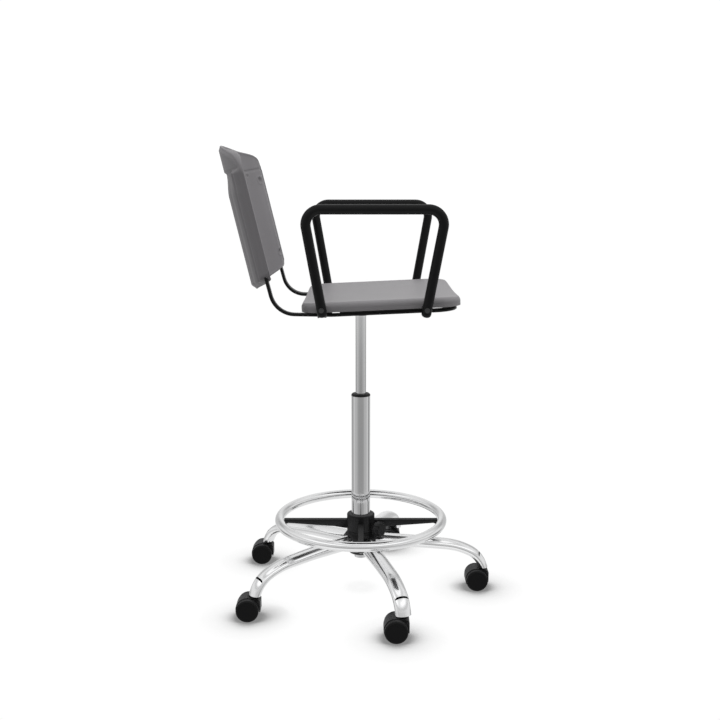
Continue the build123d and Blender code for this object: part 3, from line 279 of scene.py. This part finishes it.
def arc_depth(y, half, rise):
    """Depth of a circular arc below its crown, for a chord of this half width and rise."""
    radius = (half * half + rise * rise) / (2 * rise)
    return radius - math.sqrt(radius * radius - y * y)


def corner_cut(y, half, radius):
    """How far a rounded corner pulls the outline in, near the side."""
    over = abs(y) - (half - radius)
    return radius - math.sqrt(max(0.0, radius * radius - over * over)) if over > 0 else 0.0


def back_origin():
    """The CAD shell's lowest point up the tilt, its curve's rearmost line, and its half width."""
    points = [v.co for v in NODES["back_shell"].data.vertices]
    low = min(p.dot(BACK_UP) for p in points)
    lo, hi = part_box("back_shell")
    half = (hi[1] - lo[1]) / 2
    front = max(p.dot(BACK_AHEAD) for p in points if abs(p.y) > half - 0.004)
    return low, front - curve_depth(half), half


BACK_LOW, BACK_FRONT, BACK_HALF = back_origin()


def front_depth(y, w, edge):
    """Forward place of the front face: fuller over the bars, with a crease, dimples and a bead."""
    side = abs(y)
    depth = curve_depth(y) + SWELL_RISE * smooth(side, *SWELL_IN) * (1 - smooth(side, *SWELL_OUT))
    crease = abs(w - BAND_FOOT)
    depth -= CREASE_DEEP * (1 - smooth(crease, 0.0008, 0.0040)) * smooth(edge, 0.002, 0.010)
    depth += BAND_STEP * smooth(w, BAND_FOOT, BAND_FOOT + 0.006)
    for at_y, at_w, radius, deep in DIMPLES:
        away = math.hypot(side - at_y, w - at_w) / radius
        depth -= deep * (1 - smooth(away, 0.35, 1.0))
        depth += 0.35 * deep * math.exp(-((away - 1.15) / 0.2) ** 2)
    bead = math.exp(-((edge - BEAD_FROM_EDGE) / BEAD_WIDE) ** 2)
    return depth + BEAD_RISE * bead


def rear_thickness(y, w, edge, foot_gap):
    """Thickness behind the plain curve: a skin, a top band and a channelled bulge over the bars."""
    side = abs(y)
    band = smooth(w, BAND_FOOT - 0.003, BAND_FOOT + 0.003) * smooth(edge, 0.002, 0.012)
    channels = 0.5 + 0.5 * math.cos(2 * math.pi * side / CHANNEL_PITCH)
    middle = BULGE_DEEP * (1 - 0.22 * channels) * (1 - smooth(w, *BULGE_TOP))
    middle *= smooth(foot_gap, 0.0, 0.014) * (1 - smooth(side, *BULGE_SIDE))
    channels = 0.5 + 0.5 * math.cos(2 * math.pi * (side - BAR_CHANNEL_FROM) / BAR_CHANNEL_PITCH)
    over_bar = BAR_DEEP * smooth(side, *BAR_IN) * (1 - smooth(side, *BAR_OUT))
    over_bar *= (1 - 0.20 * channels) * (1 - smooth(w, *BAR_TOP)) * (1 - 0.12 * smooth(w, *BAR_THIN_FROM))
    return BACK_SKIN + BAND_DEEP * band + max(middle, over_bar) * smooth(edge, 0.0, 0.007)


def back_shell_mesh():
    """Both faces of the shell on one grid of columns, joined round a rounded edge."""
    half = BACK_HALF
    inner = half - RIM_STEPS[-1]
    count = 2 * round(inner / CELL)
    middle = [-inner + 2 * inner * i / count for i in range(1, count)]
    columns = [-half + s for s in RIM_STEPS] + middle + [half - s for s in reversed(RIM_STEPS)]
    rows = round(BACK_HEIGHT / CELL)
    shape = bmesh.new()
    sheets = []
    for face in (0, 1):
        sheet = []
        for y in columns:
            low = arc_depth(y, half, FOOT_ARC) + corner_cut(y, half, FOOT_CORNER)
            high = BACK_HEIGHT - arc_depth(y, half, TOP_ARC) - corner_cut(y, half, TOP_CORNER)
            reach = low + RIM_STEPS[-1]
            stop = high - RIM_STEPS[-1]
            heights = [low + s for s in RIM_STEPS]
            heights += [reach + (stop - reach) * i / rows for i in range(1, rows)]
            heights += [high - s for s in reversed(RIM_STEPS)]
            line = []
            for w in heights:
                edge = max(0.0, min(half - abs(y), w - low, high - w))
                front = front_depth(y, w, edge)
                rear = curve_depth(y) - rear_thickness(y, w, edge, w - low)
                core = (front + rear) / 2
                if edge < EDGE_ROUND:
                    bulge = math.sqrt(max(0.0, 1 - (1 - edge / EDGE_ROUND) ** 2))
                    front = core + (front - core) * bulge
                    rear = core + (rear - core) * bulge
                depth = front if face == 0 else rear
                place = BACK_AHEAD * (BACK_FRONT + depth) + BACK_UP * (BACK_LOW + w)
                line.append(shape.verts.new((place.x, y, place.z)))
            sheet.append(line)
        sheets.append(sheet)
    for face, sheet in enumerate(sheets):
        for first, second in zip(sheet, sheet[1:]):
            for i in range(len(first) - 1):
                corners = (first[i], second[i], second[i + 1], first[i + 1])
                shape.faces.new(corners if face == 0 else corners[::-1])
    bmesh.ops.remove_doubles(shape, verts=shape.verts, dist=0.00002)
    bmesh.ops.recalc_face_normals(shape, faces=shape.faces)
    mesh = bpy.data.meshes.new("back_panel")
    shape.to_mesh(mesh)
    shape.free()
    for face in mesh.polygons:
        face.use_smooth = True
    mesh.materials.append(SHADED_BACK_PLASTIC)
    panel = bpy.data.objects.new("back_panel", mesh)
    scene.collection.objects.link(panel)
    return panel


back_panel = back_shell_mesh()
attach(back_panel, "seat")
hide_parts("back_shell")

# ---------------------------------------------------------------- studio

STUDIO_RADIUS = 30.0
FLOOR_SHADE = (0.25, 0.60, 0.97)  # darkest painted shadow on the floor, and the openness where it starts and ends
FLOOR_BRIGHT = 1.01
FLOOR_SHADE_REACH = 0.105
SKY_TOP = 2.45
SKY_SIDE = 0.36
SKY_LEAN = (0.18, 0.45)  # more light from +X and from +Y


def emission_material(name, strength, attribute=None):
    mat = bpy.data.materials.new(name)
    mat.use_nodes = True
    tree = mat.node_tree
    tree.nodes.clear()
    out = tree.nodes.new("ShaderNodeOutputMaterial")
    light = tree.nodes.new("ShaderNodeEmission")
    light.inputs["Strength"].default_value = strength
    if attribute:
        read = tree.nodes.new("ShaderNodeAttribute")
        read.attribute_name = attribute
        tree.links.new(read.outputs["Color"], light.inputs["Color"])
    tree.links.new(light.outputs["Emission"], out.inputs["Surface"])
    return mat


def only_seen_by(obj, camera=False, glossy=False):
    obj.visible_camera = camera
    obj.visible_glossy = glossy
    obj.visible_diffuse = False
    obj.visible_transmission = False
    obj.visible_volume_scatter = False
    obj.visible_shadow = False


def dome(name, radius, material):
    mesh = bpy.data.meshes.new(name)
    shape = bmesh.new()
    bmesh.ops.create_uvsphere(shape, u_segments=144, v_segments=96, radius=radius)
    shape.to_mesh(mesh)
    shape.free()
    mesh.materials.append(material)
    obj = bpy.data.objects.new(name, mesh)
    scene.collection.objects.link(obj)
    return obj


def studio_floor():
    """A glowing white disc with painted contact shadows: it darkens only where something stands close
    over it.
    """
    mesh = bpy.data.meshes.new("studio_floor")
    shape = bmesh.new()
    bmesh.ops.create_circle(shape, cap_ends=True, segments=96, radius=STUDIO_RADIUS * 0.96)
    shape.to_mesh(mesh)
    shape.free()
    obj = bpy.data.objects.new("studio_floor", mesh)
    scene.collection.objects.link(obj)
    material = emission_material("pale_floor", 1.0)
    tree = material.node_tree
    near = tree.nodes.new("ShaderNodeAmbientOcclusion")
    near.samples = 12
    near.inputs["Distance"].default_value = FLOOR_SHADE_REACH
    shade = remap(tree, near.outputs["AO"], FLOOR_SHADE[0], FLOOR_BRIGHT, *FLOOR_SHADE[1:])
    glow = next(n for n in tree.nodes if n.type == "EMISSION")
    tree.links.new(shade, glow.inputs["Strength"])
    mesh.materials.append(material)
    obj.visible_glossy = False
    obj.visible_diffuse = False


studio_floor()

# white backdrop, only for the camera
backdrop = dome("studio_backdrop", STUDIO_RADIUS, emission_material("white_backdrop", 1.05))
only_seen_by(backdrop, camera=True)

MIRROR_RADIUS = 12.0
ROOM_TONE = 0.90
# what the shiny parts mirror: azimuth, elevation, half width, half height and gain of soft panels
PANELS = [
    (0, -13, 60, 10, -0.55),
    (75, -13, 20, 10, -0.25),
    (-75, -13, 20, 10, -0.25),
    (115, -13, 16, 10, -0.60),
    (-115, -13, 16, 10, -0.60),
    (0, 8, 50, 9, -0.30),
    (40, 42, 36, 9, 0.45),
    (-55, 38, 36, 9, 0.45),
    (0, 24, 180, 5, -0.28),
    (0, 60, 180, 5, -0.26),
    (0, 78, 180, 9, 0.35),
    (-20, -50, 60, 14, 0.20),
    (60, -35, 30, 8, -0.22),
    (-100, -34, 30, 6, -0.22),
    (150, 10, 18, 30, -0.30),
    (-150, 10, 18, 30, -0.30),
]


def mirrored_tone(direction):
    azimuth = math.degrees(math.atan2(direction.x, -direction.y))
    elevation = math.degrees(math.asin(max(-1.0, min(1.0, direction.z))))
    tone = ROOM_TONE
    for centre, height, wide, tall, gain in PANELS:  # degrees, azimuth 0 on the camera's side
        off = (azimuth - centre + 180) % 360 - 180
        away = ((off / wide) ** 2) ** 2 + (((elevation - height) / tall) ** 2) ** 2
        tone += gain * math.exp(-away)
    return max(0.03, tone)


mirror = dome("studio_mirror", MIRROR_RADIUS, emission_material("mirrored_studio", 1.0, "tone"))
tones = mirror.data.color_attributes.new("tone", "FLOAT_COLOR", "POINT")
for index, vertex in enumerate(mirror.data.vertices):
    value = mirrored_tone(vertex.co.normalized())
    tones.data[index].color = (value, value, value, 1)
for face in mirror.data.polygons:
    face.use_smooth = True
only_seen_by(mirror, glossy=True)

def studio_world():
    """Soft light from the whole sky, brighter overhead and towards SKY_LEAN."""
    world = bpy.data.worlds.new("studio_world")
    scene.world = world
    world.use_nodes = True
    tree = world.node_tree
    tree.nodes.clear()
    out = tree.nodes.new("ShaderNodeOutputWorld")
    sky = tree.nodes.new("ShaderNodeBackground")
    coord = tree.nodes.new("ShaderNodeTexCoord")
    split = tree.nodes.new("ShaderNodeSeparateXYZ")
    tree.links.new(coord.outputs["Generated"], split.inputs["Vector"])
    lean = tree.nodes.new("ShaderNodeVectorMath")
    lean.operation = "DOT_PRODUCT"
    lean.inputs[1].default_value = (*SKY_LEAN, 0)
    tree.links.new(coord.outputs["Generated"], lean.inputs[0])
    whole = tree.nodes.new("ShaderNodeMath")
    whole.operation = "MULTIPLY_ADD"
    rise = remap(tree, split.outputs["Z"], SKY_SIDE, SKY_TOP, 0.0, 1.0)
    tree.links.new(rise, whole.inputs[0])
    tree.links.new(lean.outputs["Value"], whole.inputs[1])
    tree.links.new(rise, whole.inputs[2])
    tree.links.new(whole.outputs["Value"], sky.inputs["Strength"])
    tree.links.new(sky.outputs["Background"], out.inputs["Surface"])


studio_world()

# ---------------------------------------------------------------- camera

CAMERA_PLACE = (-0.0021, -2.5957, 1.0932)
CAMERA_DOWN = 10.144  # degrees below level

camera_data = bpy.data.cameras.new("camera")
camera_data.lens = 50.35
camera_data.sensor_width = 36.0
camera_data.clip_end = 200.0
camera = bpy.data.objects.new("camera", camera_data)
scene.collection.objects.link(camera)
camera.location = CAMERA_PLACE
camera.rotation_euler = (math.radians(90 - CAMERA_DOWN), 0, 0)
scene.camera = camera
scene.view_settings.view_transform = "Standard"
